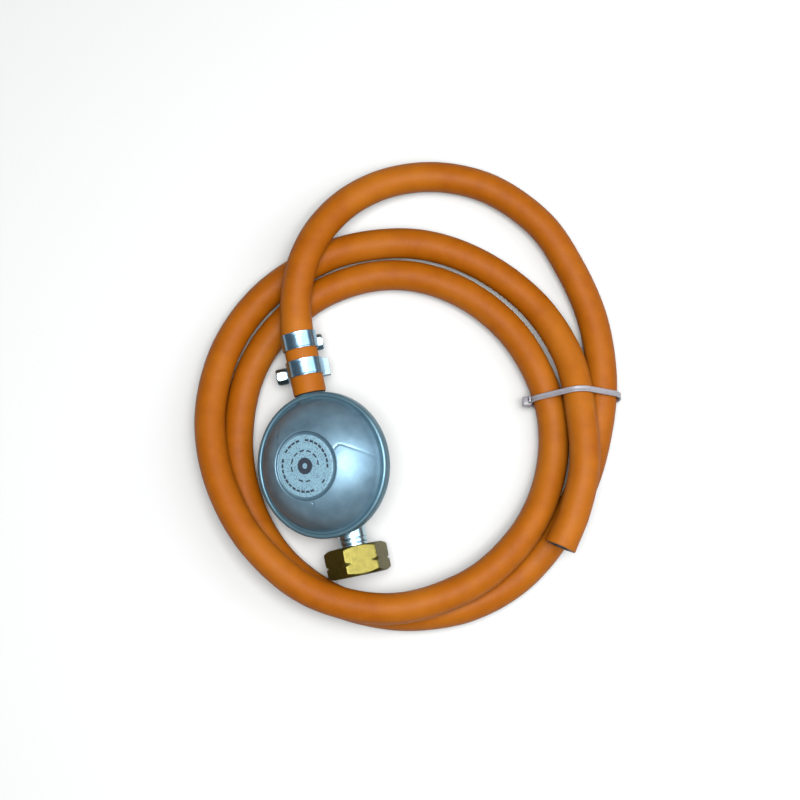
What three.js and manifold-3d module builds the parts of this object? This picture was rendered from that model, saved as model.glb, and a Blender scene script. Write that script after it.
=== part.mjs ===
// Low-pressure propane regulator with its clamped hose, tied up in two and a half loops.
// Millimetres, +Z up, +Y along the hose nozzle.
// The origin is on the floor, under the middle of the metal parts.

import * as THREE from 'three';
import { mergeVertices } from 'three/addons/utils/BufferGeometryUtils.js';
import Module from 'manifold-3d';

const wasm = await Module();
wasm.setup();

// ---- driving dimensions ----

const gap = 0.3;                                   // between pieces that touch
const roundSides = 32;                             // facets round a large turned piece
const coverSides = 36;                             // facets round the body and dome
const smallSides = 16;                             // facets round a small one
const midSides = 24;                               // facets round one in between

const lean = THREE.MathUtils.degToRad(27);         // the regulator lies rolled this far on its side
const rimRadius = 35;
const rimHeight = 5.6;
const domeHeight = 14.3;
const outletDrop = 7.32;                           // rim to hose nozzle axis
const outletAside = -1.34;                         // middle of the dome to hose nozzle axis
const outletBossEnd = 35.2;                        // from the middle of the body
const inletDrop = 17.4;                            // rim to inlet axis

const nutAcrossFlats = 27;
const nutLength = 14;
const nutTurn = THREE.MathUtils.degToRad(9);
const nutCornerRadius = nutAcrossFlats / Math.sqrt(3);

const bodyX = -1.332;
const outletX = bodyX + outletAside * Math.cos(lean) + outletDrop * Math.sin(lean);
const bodyY = -6.3;
const inletX = bodyX + inletDrop * Math.sin(lean);
const inletZ = nutCornerRadius * Math.sin(Math.PI / 3 + nutTurn);
const bodyZ = inletZ + inletDrop * Math.cos(lean);
const outletZ = bodyZ + outletAside * Math.sin(lean) - outletDrop * Math.cos(lean);

const diaphragmTravel = 1.5;
const pivotY = 8;                                  // lever pin, from the middle of the body
const pivotZ = -12.5;

const hoseRadius = 7.5;
const hoseSides = 10;
const hoseSteps = 80;
const hoseStartY = 29.2;
const nozzleEndY = 60;
const nozzleBore = 2.2;
const hoseSocketRadius = 4.9;

const bandInner = 8;
const bandOuter = 8.7;
const bandWidth = 8;
const wormDrop = 12.1;                             // hose axis to clamp screw axis
const wormRadius = 2.8;
const neckRadius = 2;
const headLength = 5.6;
const headAcrossFlats = 7;
const lowerClampY = 41.8;
const upperClampY = 55;

// Middle line of the hose, from the nozzle to its cut end.
const hoseRoute = [
	[outletX, hoseStartY, 22.9], [outletX, 45, 22.9], [outletX, 61, 22.9], [4.1, 78.5, 23.3], [11.4, 94.8, 23],
	[23.2, 109.4, 19.5], [40.3, 121, 14.6], [62.2, 126.7, 10.5], [86.8, 124.3, 8], [110.3, 112.5, 7.7],
	[129.5, 90.8, 8.2], [139.2, 66.4, 7.7], [144.3, 39.5, 8], [142.7, 12, 9.4], [135.9, -12, 9],
	[123, -38, 7.6], [104.5, -60.5, 7.6], [81, -78, 7.6], [55.5, -86, 7.6], [30.5, -85.5, 7.6],
	[8.5, -79, 7.6], [-11, -67.5, 7.6], [-28.3, -48, 7.6], [-38.2, -24.5, 7.6], [-40.7, 1, 7.6],
	[-36.5, 25, 7.6], [-26.5, 47.1, 7.6], [-10.4, 64.8, 7.6], [12.7, 77.9, 7.6], [38.9, 82.3, 7.5],
	[63.1, 77.8, 7.6], [85.2, 64.3, 7.6], [102.5, 43.5, 7.8], [111.7, 19.5, 9.3], [114, -6.1, 9.5],
	[107, -32, 11.1], [91.3, -54.8, 16.7], [68.4, -71.6, 19.8], [45.2, -79, 21.8], [20.5, -80, 22.9],
	[-2.7, -72.9, 23], [-23.4, -58.8, 22.9], [-40.4, -35.2, 22.3], [-49.2, -9.5, 20.8],
	[-51.1, 15.5, 18.1], [-46.2, 39.7, 14.4], [-33, 64.2, 10.6], [-10.9, 84.1, 7.9], [19.2, 96.1, 7.7],
	[47.1, 97.4, 9.3], [73.7, 91, 9], [98.6, 74.7, 8.2], [118.4, 50.4, 8.4], [127.9, 21.5, 13.9],
	[127, -6, 20.6], [123, -31, 23.2], [113.5, -52, 23.6], [102.5, -67.5, 24],
];

// ---- materials ----

function finish(color, roughness, metalness) {
	return new THREE.MeshStandardMaterial({ color, roughness, metalness });
}

const dieCast = () => finish(0x8fa3ad, 0.35, 0.9);
const zincPlate = () => finish(0xb4c0c8, 0.25, 1);
const steel = () => finish(0x9a9fa3, 0.35, 1);
const brass = () => finish(0xa8a060, 0.35, 0.9);
const blackRubber = () => finish(0x1c1c1c, 0.8, 0);

// ---- geometry helpers ----

function outward(geometry) {
	const bare = geometry.index ? geometry.toNonIndexed() : geometry.clone();
	const points = bare.attributes.position;
	const [a, b, c] = [new THREE.Vector3(), new THREE.Vector3(), new THREE.Vector3()];
	let volume = 0;
	for (let i = 0; i < points.count; i += 3) {
		a.fromBufferAttribute(points, i);
		b.fromBufferAttribute(points, i + 1);
		c.fromBufferAttribute(points, i + 2);
		volume += a.dot(b.cross(c));
	}
	if (volume < 0) {
		for (let i = 0; i < points.count; i += 3) {
			b.fromBufferAttribute(points, i + 1);
			c.fromBufferAttribute(points, i + 2);
			points.setXYZ(i + 1, c.x, c.y, c.z);
			points.setXYZ(i + 2, b.x, b.y, b.z);
		}
	}
	for (const name of Object.keys(bare.attributes)) {
		if (name !== 'position') bare.deleteAttribute(name);
	}
	return mergeVertices(bare, 1e-4);
}

function toSolid(geometry) {
	const merged = outward(geometry);
	const vertProperties = new Float32Array(merged.attributes.position.array);
	const triVerts = new Uint32Array(merged.index.array);
	return new wasm.Manifold(new wasm.Mesh({ numProp: 3, vertProperties, triVerts }));
}

function toGeometry(solid) {
	const mesh = solid.getMesh();
	const geometry = new THREE.BufferGeometry();
	geometry.setAttribute('position', new THREE.BufferAttribute(new Float32Array(mesh.vertProperties), 3));
	geometry.setIndex(new THREE.BufferAttribute(new Uint32Array(mesh.triVerts), 1));
	return geometry;
}

function join(base, ...others) {
	return toGeometry(others.reduce((solid, other) => solid.add(toSolid(other)), toSolid(base)));
}

function cut(base, ...others) {
	return toGeometry(others.reduce((solid, other) => solid.subtract(toSolid(other)), toSolid(base)));
}

function common(base, other) {
	return toGeometry(toSolid(base).intersect(toSolid(other)));
}

// Turned about Y; the profile is a list of [radius, y].
function turnedY(profile, sides = smallSides) {
	return new THREE.LatheGeometry(profile.map(([r, y]) => new THREE.Vector2(r, y)), sides);
}

// Turned about Z; the profile is a list of [radius, z].
function turnedZ(profile, sides = roundSides) {
	return turnedY(profile, sides).rotateX(Math.PI / 2);
}

function block([x0, x1], [y0, y1], [z0, z1]) {
	return new THREE.BoxGeometry(x1 - x0, y1 - y0, z1 - z0)
		.translate((x0 + x1) / 2, (y0 + y1) / 2, (z0 + z1) / 2);
}

function rodY(radius, y0, y1, sides = smallSides) {
	return new THREE.CylinderGeometry(radius, radius, y1 - y0, sides).translate(0, (y0 + y1) / 2, 0);
}

function rodX(radius, x0, x1, sides = smallSides) {
	return new THREE.CylinderGeometry(radius, radius, x1 - x0, sides)
		.rotateZ(-Math.PI / 2).translate((x0 + x1) / 2, 0, 0);
}

function rodZ(radius, z0, z1, sides = smallSides) {
	return new THREE.CylinderGeometry(radius, radius, z1 - z0, sides)
		.rotateX(Math.PI / 2).translate(0, 0, (z0 + z1) / 2);
}

// A ring about Y from inner to outer radius, closed on itself.
function ringY(inner, outer, y0, y1, sides = smallSides) {
	return turnedY([[inner, y0], [outer, y0], [outer, y1], [inner, y1], [inner, y0]], sides);
}

function arcPoints(cx, cz, radius, from, to, count) {
	return Array.from({ length: count + 1 }, (_, i) => {
		const angle = from + (to - from) * i / count;
		return [cx + radius * Math.cos(angle), cz + radius * Math.sin(angle)];
	});
}

const assembly = new THREE.Group();

function add(parent, name, geometry, material) {
	const mesh = new THREE.Mesh(outward(geometry), material);
	mesh.name = name;
	parent.add(mesh);
	return mesh;
}

// ---- regulator: local z is the dome's axis, and z = 0 is the top of the rolled rim ----

const regulator = new THREE.Group();
regulator.position.set(bodyX, bodyY, bodyZ);
regulator.rotation.y = -lean;
assembly.add(regulator);

const lipThickness = 0.8;
const grooveRadius = rimRadius - 1;                // bore of the rim, which holds cover and diaphragm
const flangeTop = -lipThickness - gap;
const flangeBottom = flangeTop - 1;
const diaphragmTop = flangeBottom - gap;
const diaphragmBottom = diaphragmTop - 1.2;
const ledge = diaphragmBottom - gap;
const bodyBottom = -26.3;
const cavityFloor = -23.4;

function lowerBody() {
	const shell = turnedZ([
		[0, bodyBottom], [12.5, bodyBottom], [14.5, -25.6], [32, -7.6], [33.4, -rimHeight],
		[rimRadius, -rimHeight + 0.6], [rimRadius, -0.6], [rimRadius - 0.6, 0], [rimRadius - 2.5, 0],
		[rimRadius - 2.5, -lipThickness], [grooveRadius, -lipThickness], [grooveRadius, ledge],
		[28.5, ledge], [28.2, -7.4], [12.5, cavityFloor], [0, cavityFloor],
	], coverSides);
	const inletBoss = rodY(8.2, -29, -17, midSides).translate(0, 0, -inletDrop);
	const outletBoss = rodY(7.3, 24, outletBossEnd, midSides).translate(outletAside, 0, -outletDrop);
	const outletRoom = turnedZ([[0, -12.6], [23.6, -12.6], [28.2, -7.4], [28.5, ledge], [grooveRadius, ledge],
		[grooveRadius, 2], [0, 2]], coverSides);
	const posts = [-1, 1].map((side) => block(
		side > 0 ? [2.9, 5.4] : [-5.4, -2.9], [pivotY - 2, pivotY + 2], [cavityFloor - 0.5, pivotZ + 2]));
	const withBosses = join(shell, inletBoss, cut(outletBoss, outletRoom), ...posts);
	const pinHoles = rodX(1.3, -7, 7).translate(0, pivotY, pivotZ);
	const orificeBore = rodY(4.8, -24.3, -12).translate(0, 0, -inletDrop);
	const stemBore = rodY(5.3, -30, -24).translate(0, 0, -inletDrop);
	const outletBore = rodY(3.5, 20, 36).translate(outletAside, 0, -outletDrop);
	return cut(withBosses, pinHoles, orificeBore, stemBore, outletBore);
}

// Dome with its turned-in spring tube; the cap sits on a step inside the crest.
function bonnet() {
	const dome = arcPoints(8.4, -9.3, 24.7, 0.43, 1.22, 8);
	const under = arcPoints(8.4, -9.3, 22.6, 1.1, 0.46, 7);
	return turnedZ([
		[29.2, flangeBottom], [grooveRadius - gap, flangeBottom], [grooveRadius - gap, flangeTop],
		[32.1, flangeTop], [31.4, -0.2], ...dome, [15.9, domeHeight + 0.2], [15.1, domeHeight - 0.1],
		[15.1, 12.4], [13.3, 12.4], [13.3, 3.5], [15, 3.5], [15, 10], ...under, [29.2, flangeBottom],
	], coverSides);
}

function capDisc() {
	return turnedZ([
		[0, 12.4 + gap], [14.5, 12.4 + gap], [14.8, 13], [14.8, domeHeight - 0.3],
		[14.5, domeHeight], [0, domeHeight],
	], roundSides);
}

function adjustingRing() {
	const ring = turnedZ([[0, 8.8], [12.6, 8.8], [13, 9.2], [13, 11.4], [12.6, 11.8], [0, 11.8]], roundSides);
	const keyHole = new THREE.CylinderGeometry(3.6, 3.6, 6, 6).rotateX(Math.PI / 2).translate(0, 0, 10.3);
	return cut(ring, keyHole);
}

class Coil extends THREE.Curve {
	getPoint(t, target = new THREE.Vector3()) {
		const angle = t * this.turns * 2 * Math.PI;
		return target.set(this.radius * Math.cos(angle), this.radius * Math.sin(angle),
			this.bottom + t * this.height);
	}
}

function roundSection(radius, sides) {
	const points = arcPoints(0, 0, radius, 0, 2 * Math.PI * (sides - 1) / sides, sides - 1);
	return new THREE.Shape(points.map(([x, y]) => new THREE.Vector2(x, y)));
}

const springWire = 0.9;
const springBottom = -0.6 + gap + springWire;
const springTop = 8.8 - gap - springWire;

function mainSpring() {
	const coil = new Coil();
	Object.assign(coil, { turns: 4, radius: 9, bottom: springBottom, height: springTop - springBottom });
	return new THREE.ExtrudeGeometry(roundSection(springWire, 6), { steps: 56, extrudePath: coil });
}

// Rubber sheet with a thick rim in the groove and one rolled convolution.
function diaphragm() {
	return turnedZ([
		[2.2, diaphragmTop - 0.2], [2.2, diaphragmBottom + 0.2], [21.5, diaphragmBottom + 0.2],
		[23, -4.4], [25.5, -4.4], [27, diaphragmBottom + 0.2], [29, diaphragmBottom],
		[grooveRadius - gap, diaphragmBottom], [grooveRadius - gap, diaphragmTop], [29, diaphragmTop],
		[27.4, diaphragmTop - 0.2], [25.7, -3.6], [22.8, -3.6], [21.2, diaphragmTop - 0.2],
		[2.2, diaphragmTop - 0.2],
	], roundSides);
}

const plateBottom = diaphragmTop - 0.2 + gap;
const plateTop = -0.6;

function diaphragmPlate() {
	return turnedZ([
		[1.8, plateBottom], [20, plateBottom], [20.4, plateBottom + 0.5], [20.4, plateTop + 0.6],
		[19.6, plateTop + 0.6], [19.6, plateTop], [1.8, plateTop], [1.8, plateBottom],
	], roundSides);
}

function retainingWasher() {
	const top = diaphragmBottom + 0.2 - gap;
	return turnedZ([[1.8, top - 1], [8, top - 1], [8, top], [1.8, top], [1.8, top - 1]], midSides);
}

function plateNut() {
	const hex = new THREE.CylinderGeometry(3.6, 3.6, 2.4, 6).rotateX(Math.PI / 2)
		.translate(0, 0, plateTop + gap + 1.2);
	return cut(hex, rodZ(1.8, plateTop, plateTop + 4));
}

// Pin through the diaphragm, with the eye that lifts the lever.
function diaphragmStem() {
	const eye = block([-2.8, 2.8], [-1.5, 1.5], [pivotZ - 2.2, pivotZ + 2.4]);
	const window = block([-1.6, 1.6], [-3, 3], [pivotZ - 1.1, pivotZ + 1.1]);
	const pin = rodZ(1.5, pivotZ + 2, 2.8);
	const collar = rodZ(2.6, -7, -diaphragmTravel - 3.6);
	return cut(join(pin, collar, eye), window);
}

function lever() {
	const hub = rodX(2.3, -2.4, 2.4).translate(0, pivotY, pivotZ);
	const longArm = block([-1.1, 1.1], [-2.4, pivotY - 1], [pivotZ - 0.5, pivotZ + 0.5]);
	const shortArm = block([-1.1, 1.1], [pivotY - 0.6, pivotY + 0.6], [-inletDrop - 1, pivotZ - 1]);
	const bore = rodX(1.15, -3, 3).translate(0, pivotY, pivotZ);
	return cut(join(hub, longArm, shortArm), bore);
}

function leverPin() {
	return rodX(1, -5.6, 5.6).translate(0, pivotY, pivotZ);
}

const padFace = -14.7;

function valvePiston() {
	const stem = rodY(1.8, -10.5, 5.5);
	const cup = turnedY([[0, padFace + 4.6], [4.4, padFace + 4.6], [4.4, padFace + 0.8], [3.7, padFace + 0.8],
		[3.7, padFace + 2.5], [0, padFace + 2.5]], midSides);
	const yoke = block([-2.5, 2.5], [5, 11], [-1.9, 1.9]);
	const slot = block([-1.5, 1.5], [pivotY - 1.2, pivotY + 1.2], [-3, 3]);
	return cut(join(stem, cup, yoke), slot).translate(0, 0, -inletDrop);
}

function valvePad() {
	return rodY(3.35, padFace, padFace + 2.2, midSides).translate(0, 0, -inletDrop);
}

function inletOrifice() {
	return turnedY([
		[0.8, -24], [4.5, -24], [4.5, -18.2], [3.4, -17.6], [1.8, -15.8], [0.8, -15.8], [0.8, -24],
	], midSides).translate(0, 0, -inletDrop);
}

add(regulator, 'lower_body', lowerBody(), dieCast());
add(regulator, 'bonnet', bonnet(), dieCast());
add(regulator, 'cap_disc', capDisc(), finish(0xa9bcc6, 0.5, 0.6));
add(regulator, 'adjusting_ring', adjustingRing(), brass());
add(regulator, 'main_spring', mainSpring(), steel());
add(regulator, 'diaphragm', diaphragm(), blackRubber());
add(regulator, 'diaphragm_plate', diaphragmPlate(), zincPlate());
add(regulator, 'retaining_washer', retainingWasher(), zincPlate());
add(regulator, 'plate_nut', plateNut(), zincPlate());
add(regulator, 'diaphragm_stem', diaphragmStem(), brass());
add(regulator, 'lever', lever(), steel());
add(regulator, 'lever_pin', leverPin(), steel());
add(regulator, 'valve_piston', valvePiston(), brass());
add(regulator, 'valve_pad', valvePad(), blackRubber());
add(regulator, 'inlet_orifice', inletOrifice(), brass());

// ---- inlet: stem, union nut and seal on one axis ----

const inlet = new THREE.Group();
inlet.position.set(inletX, bodyY, inletZ);
assembly.add(inlet);

const nutBack = -40.5;
const nutMouth = nutBack - nutLength;
const nutBoreRadius = 10;
const stemRadius = 6.75;
const sealBack = -45.3;
const sealFace = -47.3;

function inletStem() {
	return turnedY([
		[2.6, -47], [3.6, -47], [3.6, -45], [8.9, -45], [8.9, nutBack - 2.5], [stemRadius, nutBack - 2.5],
		[stemRadius, -36.2], [6.2, -35.8], [6.2, -34.8], [stemRadius, -34.4], [stemRadius, -29 - gap],
		[5, -29 - gap], [5, -24 - gap], [2.6, -24 - gap], [2.6, -47],
	], roundSides);
}

function inletFilter() {
	return rodY(2.3, -46.8, -38);
}

function inletSeal() {
	return ringY(3.9, 8.6, sealFace, sealBack, roundSides);
}

function unionNut() {
	const middle = (nutBack + nutMouth) / 2;
	const hex = new THREE.CylinderGeometry(nutCornerRadius, nutCornerRadius, nutLength, 6)
		.rotateY(Math.PI / 6).translate(0, middle, 0).rotateY(nutTurn);
	const chamfer = turnedY([
		[0, nutMouth], [13.2, nutMouth], [16, nutMouth + 1.6], [16, nutBack - 1.6], [13.2, nutBack], [0, nutBack],
	], coverSides);
	const notchY = nutBack - 0.58 * nutLength;
	const notch = turnedY([[17, notchY - 1.2], [14.5, notchY], [17, notchY + 1.2], [17, notchY - 1.2]], coverSides);
	const bore = turnedY([
		[0, nutMouth - 1], [11.2, nutMouth - 1], [nutBoreRadius, nutMouth + 1.2],
		[nutBoreRadius, nutBack - 2.2], [stemRadius + 0.4, nutBack - 2.2], [stemRadius + 0.4, nutBack + 1],
		[0, nutBack + 1],
	], coverSides);
	return cut(common(hex, chamfer), notch, bore);
}

add(inlet, 'inlet_stem', inletStem(), zincPlate());
add(inlet, 'inlet_filter', inletFilter(), finish(0x8a7a50, 0.6, 0.7));
add(inlet, 'inlet_seal', inletSeal(), blackRubber());
add(inlet, 'union_nut', unionNut(), brass());

// ---- outlet: barbed nozzle inside the hose ----

function hoseNozzle() {
	const rootY = bodyY + 27;
	const shoulderY = bodyY + outletBossEnd + gap;
	const barbPitch = 6;
	const profile = [[nozzleBore, rootY], [3.2, rootY], [3.2, shoulderY], [4, shoulderY]];
	for (let y = hoseStartY + barbPitch; y < nozzleEndY - barbPitch; y += barbPitch) {
		profile.push([4, y], [4.6, y + 0.3], [4.1, y + 4]);
	}
	profile.push([3.7, nozzleEndY], [nozzleBore, nozzleEndY], [nozzleBore, rootY]);
	return turnedY(profile, midSides).translate(outletX, 0, outletZ);
}

function hose() {
	const path = new THREE.CatmullRomCurve3(
		hoseRoute.map(([x, y, z]) => new THREE.Vector3(x, y, z)), false, 'catmullrom', 0.5);
	const tube = new THREE.ExtrudeGeometry(roundSection(hoseRadius, hoseSides),
		{ steps: hoseSteps, extrudePath: path });
	const socket = rodY(hoseSocketRadius, hoseStartY - 1, nozzleEndY + 1).translate(outletX, 0, outletZ);
	return cut(tube, socket);
}

add(assembly, 'hose_nozzle', hoseNozzle(), zincPlate());
add(assembly, 'hose', hose(), finish(0xc8702a, 0.6, 0));

// ---- worm-drive clamps: the screw runs across, below the hose ----

function clamp(prefix, y, housingSpan, headSide, neckLength) {
	const group = new THREE.Group();
	group.position.set(outletX, y, outletZ);
	assembly.add(group);

	const band = ringY(bandInner, bandOuter, -bandWidth / 2, bandWidth / 2, roundSides);
	const outline = block(housingSpan, [-bandWidth / 2, bandWidth / 2], [-wormDrop - wormRadius - 1, -6]);
	const saddle = rodY(bandOuter + gap, -bandWidth, bandWidth, roundSides);
	const wormRoom = rodX(wormRadius + 0.4, housingSpan[0] - 1, housingSpan[1] + 1).translate(0, 0, -wormDrop);
	const bandRoom = block([-3, 3], [-2.6, 2.6], [-wormDrop, -bandOuter]);

	const nearEnd = headSide > 0 ? housingSpan[1] : housingSpan[0];
	const farEnd = headSide > 0 ? housingSpan[0] : housingSpan[1];
	const neckEnd = nearEnd + headSide * neckLength;
	const headEnd = neckEnd + headSide * headLength;
	const span = (a, b) => [Math.min(a, b), Math.max(a, b)];
	const worm = rodX(wormRadius, ...span(farEnd + headSide, nearEnd - headSide));
	const neck = rodX(neckRadius, ...span(nearEnd - 2 * headSide, neckEnd + headSide));
	const head = rodX(headAcrossFlats / Math.sqrt(3), ...span(neckEnd, headEnd), 6).rotateX(Math.PI / 6);
	const drive = block(span(headEnd - 1.2 * headSide, headEnd + headSide), [-5, 5], [-0.5, 0.5]);
	const screw = cut(join(worm, neck, head), drive).translate(0, 0, -wormDrop);

	add(group, `${prefix}_clamp_band`, band, zincPlate());
	add(group, `${prefix}_clamp_housing`, cut(outline, saddle, wormRoom, bandRoom), zincPlate());
	add(group, `${prefix}_clamp_screw`, screw, zincPlate());
}

clamp('lower', lowerClampY, [-4.3, 11.6], -1, 4.8);
clamp('upper', upperClampY, [-2.6, 3], 1, 2.5);

// ---- cable tie round the three strands on the far side of the loops ----

const tieInner = 8.4;
const tieThickness = 1;
const tieWidth = 2.8;
const tieYaw = THREE.MathUtils.degToRad(-9);
const tieTilt = THREE.MathUtils.degToRad(10);

// Solid filled by a strap's outline, pulled tight round three equal circles: left, top and right.
function strapBlank(radius, width) {
	const [left, top, right] = [[-14.6, 0], [-0.9, 9.3], [11.7, 0]];
	const facing = (from, to) => Math.atan2(to[1] - from[1], to[0] - from[0]) + Math.PI / 2;
	const outline = [
		...arcPoints(...left, radius, 1.5 * Math.PI, facing(left, top), 7),
		...arcPoints(...top, radius, facing(left, top), facing(top, right), 4),
		...arcPoints(...right, radius, facing(top, right), -0.5 * Math.PI, 7),
	];
	const shape = new THREE.Shape(outline.map(([x, z]) => new THREE.Vector2(x, z)));
	return new THREE.ExtrudeGeometry(shape, { depth: width, bevelEnabled: false }).translate(0, 0, -width / 2);
}

function cableTie() {
	const strap = cut(strapBlank(tieInner + tieThickness, tieWidth), strapBlank(tieInner, 2 * tieWidth));
	const lock = block([-27.8, -23], [-2.2, 2.6], [-2.4, 2.4]);
	return join(strap, lock).rotateX(Math.PI / 2);
}

const tie = new THREE.Group();
tie.position.set(128.4, 1, 9.65);
tie.rotation.set(-tieTilt, 0, tieYaw, 'ZXY');
assembly.add(tie);
add(tie, 'cable_tie', cableTie(), finish(0xd8d8d0, 0.4, 0));

export default assembly;
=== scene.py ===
import math

import bmesh
import bpy
import numpy as np
from mathutils import Matrix, Vector, noise


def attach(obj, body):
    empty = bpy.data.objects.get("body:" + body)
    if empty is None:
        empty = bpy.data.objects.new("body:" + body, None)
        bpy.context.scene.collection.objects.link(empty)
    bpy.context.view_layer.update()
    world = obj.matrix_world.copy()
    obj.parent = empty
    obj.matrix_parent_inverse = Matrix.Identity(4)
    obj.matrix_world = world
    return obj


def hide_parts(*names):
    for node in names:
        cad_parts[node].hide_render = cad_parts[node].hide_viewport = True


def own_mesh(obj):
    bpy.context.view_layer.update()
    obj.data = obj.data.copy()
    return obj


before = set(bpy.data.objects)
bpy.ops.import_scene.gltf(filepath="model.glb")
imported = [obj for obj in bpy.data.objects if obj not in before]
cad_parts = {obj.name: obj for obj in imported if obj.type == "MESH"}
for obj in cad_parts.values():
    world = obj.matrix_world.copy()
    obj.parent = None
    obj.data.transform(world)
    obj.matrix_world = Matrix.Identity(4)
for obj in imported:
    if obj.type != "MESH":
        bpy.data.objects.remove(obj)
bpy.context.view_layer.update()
scene = bpy.context.scene
mm = 0.001
rootBody = "regulator_and_hose"

# the same places as in the part's source
lean = math.radians(27)  # the dome's axis leans this far towards -X
outletX, outletZ = 0.797, 22.927
bodyPlace = Matrix.Translation(Vector((-1.332, -6.3, 30.057)) * mm) @ Matrix.Rotation(-lean, 4, "Y")
alongY = Matrix.Rotation(-math.pi / 2, 4, "X")  # lays a piece turned about Z along Y
outletAside, outletDrop, inletDrop = -1.34, 7.32, 17.4  # from the body's own origin, in mm
outletPlace = bodyPlace @ Matrix.Translation(Vector((outletAside, 0, -outletDrop)) * mm) @ alongY
inletAxis = bodyPlace @ Matrix.Translation((0, 0, -inletDrop * mm)) @ alongY
inletPlace = Matrix.Translation(Vector((6.567, -6.3, 14.553)) * mm)
alongX = Matrix.Rotation(math.pi / 2, 4, "Y")

# camera, almost straight above
view = {"height": math.radians(83), "turn": math.radians(12), "away": 0.8, "lens": 73.2,
        "aim": Vector((0.0430, 0.0191, 0.0075))}
camera = bpy.data.objects.new("camera", bpy.data.cameras.new("camera"))
scene.collection.objects.link(camera)
camera.data.sensor_width = 36
camera.data.lens = view["lens"]
camera.data.clip_start = 0.01
upward = Vector((math.sin(view["turn"]), math.cos(view["turn"]), 0))
sight = Vector((0, 0, math.sin(view["height"]))) - upward * math.cos(view["height"])
across = upward.cross(sight).normalized()
camera.matrix_world = (Matrix.Translation(view["aim"] + sight * view["away"])
                       @ Matrix((across, sight.cross(across), sight)).transposed().to_4x4())
scene.camera = camera


# an sRGB hex colour as the linear values a shader takes
def linear(colour):
    parts = [int(colour[i:i + 2], 16) / 255 for i in (0, 2, 4)]
    return [p / 12.92 if p <= 0.04045 else ((p + 0.055) / 1.055) ** 2.4 for p in parts] + [1]


def addNode(tree, kind, inputs=None, **settings):
    node = tree.nodes.new(kind)
    for name, value in settings.items():
        setattr(node, name, value)
    for name, value in (inputs or {}).items():
        if isinstance(value, bpy.types.NodeSocket):
            tree.links.new(value, node.inputs[name])
        else:
            node.inputs[name].default_value = value
    return node


# colours 6 and 7 are a Mix node's colour sockets, and its colour comes out of socket 2
def surface(name, colours, patch, grain, relief, roughness, stretch=(1, 1, 1), **shader):
    material = bpy.data.materials.new(name)
    material.use_nodes = True
    tree = material.node_tree
    tree.nodes.clear()
    coords = addNode(tree, "ShaderNodeTexCoord").outputs["Object"]
    grainCoords = addNode(tree, "ShaderNodeMapping", {"Vector": coords, "Scale": stretch}).outputs["Vector"]
    blotch = addNode(tree, "ShaderNodeTexNoise", {"Vector": coords, "Scale": 1000 / patch, "Detail": 3.0})
    fine = addNode(tree, "ShaderNodeTexNoise", {"Vector": grainCoords, "Scale": 1000 / grain, "Detail": 2.0})
    colour = addNode(tree, "ShaderNodeMix", {0: blotch.outputs["Fac"], 6: linear(colours[0]),
                                             7: linear(colours[1])}, data_type="RGBA")
    rough = addNode(tree, "ShaderNodeMapRange", {
        "Value": fine.outputs["Fac"], "From Min": 0.3, "From Max": 0.7, "To Min": roughness[0],
        "To Max": roughness[1]})
    bump = addNode(tree, "ShaderNodeBump", {"Height": fine.outputs["Fac"], "Distance": relief * mm})
    skin = addNode(tree, "ShaderNodeBsdfPrincipled", {
        "Base Color": colour.outputs[2], "Roughness": rough.outputs["Result"],
        "Normal": bump.outputs["Normal"], **shader})
    addNode(tree, "ShaderNodeOutputMaterial", {"Surface": skin.outputs["BSDF"]})
    return {"material": material, "tree": tree, "coords": coords, "colour": colour, "skin": skin}


# die-cast zinc alloy, tumbled: satin blue-grey with a fine pebbled grain
dieCast = surface("dieCastZincTumbled", ("53707d", "6c8d9b"), 9, 0.35, 0.012, (0.38, 0.52), Metallic=0.85)
dieCastDome = surface("dieCastZincSatin", ("536e7e", "7c9aaa"), 7, 0.5, 0.025, (0.43, 0.56), Metallic=0.78)
# zinc plated steel: bright, blue-white, faint drawing lines along the strip
zincStrip = surface("steelZincPlated", ("7596ad", "96b9d0"), 5, 0.5, 0.008, (0.16, 0.32),
                    (1, 9, 1), Metallic=1.0)
zincPressed = surface("steelZincPressed", ("4f6270", "6f8594"), 4, 0.5, 0.012, (0.3, 0.44), Metallic=0.9)
zincTurned = surface("steelZincTurned", ("8ca8b4", "b1ced8"), 4, 0.45, 0.01, (0.18, 0.34),
                     (1, 6, 1), Metallic=1.0)
# drawn spring wire: dark, oiled
springWire = surface("springWireOiled", ("6a6c6e", "84878a"), 3, 0.3, 0.006, (0.3, 0.45), Metallic=1.0)
# turned brass, yellow; the union nut is older, a darker greenish brown
brassTurned = surface("brassTurned", ("b59a4c", "c9b064"), 4, 0.35, 0.006, (0.24, 0.38), Metallic=1.0)
brassAged = surface("brassForgedAged", ("423d15", "625b27"), 3, 0.5, 0.05, (0.3, 0.48), Metallic=0.82)
bronzeMesh = surface("bronzeSintered", ("6f5a30", "9a824e"), 0.8, 0.25, 0.08, (0.5, 0.7), Metallic=0.9)
# nitrile rubber: matt black, slight bloom
nitrile = surface("nitrileRubberMoulded", ("131313", "242526"), 3, 0.3, 0.02, (0.55, 0.75))
clothRubber = surface("nitrileClothSheet", ("1a1b1c", "2b2c2e"), 2, 0.5, 0.05, (0.6, 0.8))
# natural polyamide: milky, slightly see-through
nylon = surface("polyamideNatural", ("706d72", "88858a"), 4, 0.3, 0.006, (0.3, 0.42), **{
    "Subsurface Weight": 0.35, "Subsurface Radius": (0.002, 0.002, 0.002), "IOR": 1.53})
# cloth-wrapped cured rubber: orange, fine cross ribs left by the wrapping tape
hoseRubber = surface("rubberClothWrapped", ("783b00", "8e4d00"), 7, 0.9, 0.05, (0.48, 0.62),
                     **{"IOR": 1.5, "Specular IOR Level": 0.13})
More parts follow.
